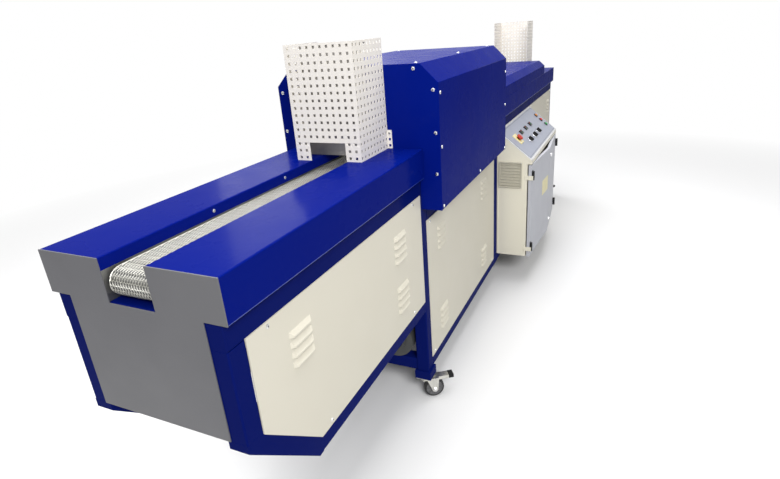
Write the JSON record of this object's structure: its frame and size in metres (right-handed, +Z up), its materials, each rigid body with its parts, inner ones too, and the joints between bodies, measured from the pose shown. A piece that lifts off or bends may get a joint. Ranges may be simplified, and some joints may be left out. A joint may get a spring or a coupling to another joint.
{
  "type": "conveyor belt furnace",
  "caption": "Long conveyor furnace: a wire belt runs in a table trough through a heated hood and cooling cover, with guards, control cabinet and casters.",
  "frame": {"origin": "on the floor, under the centre of the bounding box", "axes": "+X along the belt from the entry end to the exit end, +Z up, the operator and the control cabinet on the -Y side"},
  "size_m": [3.75, 0.7225, 1.343],
  "materials": {
    "frame_navy": "gloss enamel",
    "cover_blue": "gloss enamel",
    "panel_cream": "satin enamel",
    "guard_cream": "satin enamel",
    "plate_grey": "satin enamel",
    "belt_wire": "woven wire",
    "bed_steel": "dull",
    "tunnel_steel": "dull",
    "blower_grey": "satin",
    "caster_zinc": "zinc plated",
    "wheel_rubber": "matte",
    "cabinet_cream": "satin enamel",
    "door_grey": "fine textured enamel",
    "hinge_black": "fine texture",
    "lock_chrome": "bright",
    "console_blue": "satin",
    "stop_yellow": "gloss",
    "stop_red": "gloss",
    "display_black": "gloss",
    "bezel_chrome": "bright",
    "knob_black": "satin",
    "lamp_lens": "gloss",
    "grille_black": "satin"
  },
  "bodies": {
    "machine": {"posts": "frame_navy", "side_rails": "frame_navy", "cross_rails": "frame_navy", "entry_braces": "frame_navy", "entry_covers": "cover_blue", "exit_covers": "cover_blue", "belt_bed": "bed_steel", "mesh_belt": "belt_wire", "end_rollers": "bed_steel", "front_panels": "panel_cream", "rear_panels": "panel_cream", "end_plates": "plate_grey", "hood": "cover_blue", "hood_end_plates": "cover_blue", "heating_tunnel": "tunnel_steel", "cooling_cover": "cover_blue", "belt_guards": "guard_cream", "blower": "blower_grey", "foot_blocks": "frame_navy", "caster_plates": "caster_zinc", "control_cabinet": "cabinet_cream", "hinge_barrels": "hinge_black", "hinge_brackets": "cabinet_cream", "console_panel": "console_blue", "stop_plate": "stop_yellow", "displays": "display_black", "knob_bezels": "bezel_chrome", "pilot_lamps": "lamp_lens", "side_grille": "grille_black"},
    "left_leaf": {"left_door": "door_grey", "left_door_hinges": "hinge_black"},
    "right_leaf": {"right_door": "door_grey", "right_door_hinges": "hinge_black", "door_locks": "lock_chrome"},
    "stop_button": {"emergency_stop": "stop_red"},
    "knob_1": {"selector_knob_1": "knob_black"},
    "knob_2": {"selector_knob_2": "knob_black"},
    "knob_3": {"selector_knob_3": "knob_black"},
    "fork_entry_front": {"caster_fork_entry_front": "caster_zinc"},
    "wheel_entry_front": {"caster_wheel_entry_front": "wheel_rubber"},
    "fork_entry_rear": {"caster_fork_entry_rear": "caster_zinc"},
    "wheel_entry_rear": {"caster_wheel_entry_rear": "wheel_rubber"},
    "fork_exit_front": {"caster_fork_exit_front": "caster_zinc"},
    "wheel_exit_front": {"caster_wheel_exit_front": "wheel_rubber"},
    "fork_exit_rear": {"caster_fork_exit_rear": "caster_zinc"},
    "wheel_exit_rear": {"caster_wheel_exit_rear": "wheel_rubber"}
  },
  "joints": [
    {"name": "left_door_hinge", "type": "hinge", "parent": "machine", "child": "left_leaf", "pos_m": [0.173, -0.33766, 0.427], "axis": [0, 0, -1], "range_deg": [-4, 106]},
    {"name": "right_door_hinge", "type": "hinge", "parent": "machine", "child": "right_leaf", "pos_m": [0.972, -0.33766, 0.427], "axis": [0, 0, 1], "range_deg": [-4, 106]},
    {"name": "stop_press", "type": "slide", "parent": "machine", "child": "stop_button", "axis": [0, 0.6417, -0.7669], "range_m": [0, 0.006]},
    {"name": "knob_1_turn", "type": "hinge", "parent": "machine", "child": "knob_1", "pos_m": [0.424, -0.27751, 0.75841], "axis": [0, -0.6417, 0.7669], "range_deg": [-60, 60]},
    {"name": "knob_2_turn", "type": "hinge", "parent": "machine", "child": "knob_2", "pos_m": [0.548, -0.27751, 0.75841], "axis": [0, -0.6417, 0.7669], "range_deg": [-60, 60]},
    {"name": "knob_3_turn", "type": "hinge", "parent": "machine", "child": "knob_3", "pos_m": [0.666, -0.27751, 0.75841], "axis": [0, -0.6417, 0.7669], "range_deg": [-60, 60]},
    {"name": "swivel_entry_front", "type": "hinge", "parent": "machine", "child": "fork_entry_front", "pos_m": [-0.885, -0.13116, 0.092], "axis": [0, 0, 1], "continuous": true},
    {"name": "roll_entry_front", "type": "hinge", "parent": "fork_entry_front", "child": "wheel_entry_front", "pos_m": [-0.86779, -0.15573, 0.04], "axis": [-0.8192, -0.5736, 0], "continuous": true},
    {"name": "swivel_entry_rear", "type": "hinge", "parent": "machine", "child": "fork_entry_rear", "pos_m": [-0.885, 0.25884, 0.092], "axis": [0, 0, 1], "continuous": true},
    {"name": "roll_entry_rear", "type": "hinge", "parent": "fork_entry_rear", "child": "wheel_entry_rear", "pos_m": [-0.87092, 0.28533, 0.04], "axis": [0.8829, -0.4695, 0], "continuous": true},
    {"name": "swivel_exit_front", "type": "hinge", "parent": "machine", "child": "fork_exit_front", "pos_m": [1.843, -0.13116, 0.092], "axis": [0, 0, 1], "continuous": true},
    {"name": "roll_exit_front", "type": "hinge", "parent": "fork_exit_front", "child": "wheel_exit_front", "pos_m": [1.82892, -0.15765, 0.04], "axis": [-0.8829, 0.4695, 0], "continuous": true},
    {"name": "swivel_exit_rear", "type": "hinge", "parent": "machine", "child": "fork_exit_rear", "pos_m": [1.843, 0.25884, 0.092], "axis": [0, 0, 1], "continuous": true},
    {"name": "roll_exit_rear", "type": "hinge", "parent": "fork_exit_rear", "child": "wheel_exit_rear", "pos_m": [1.82579, 0.28341, 0.04], "axis": [0.8192, 0.5736, 0], "continuous": true}
  ]
}
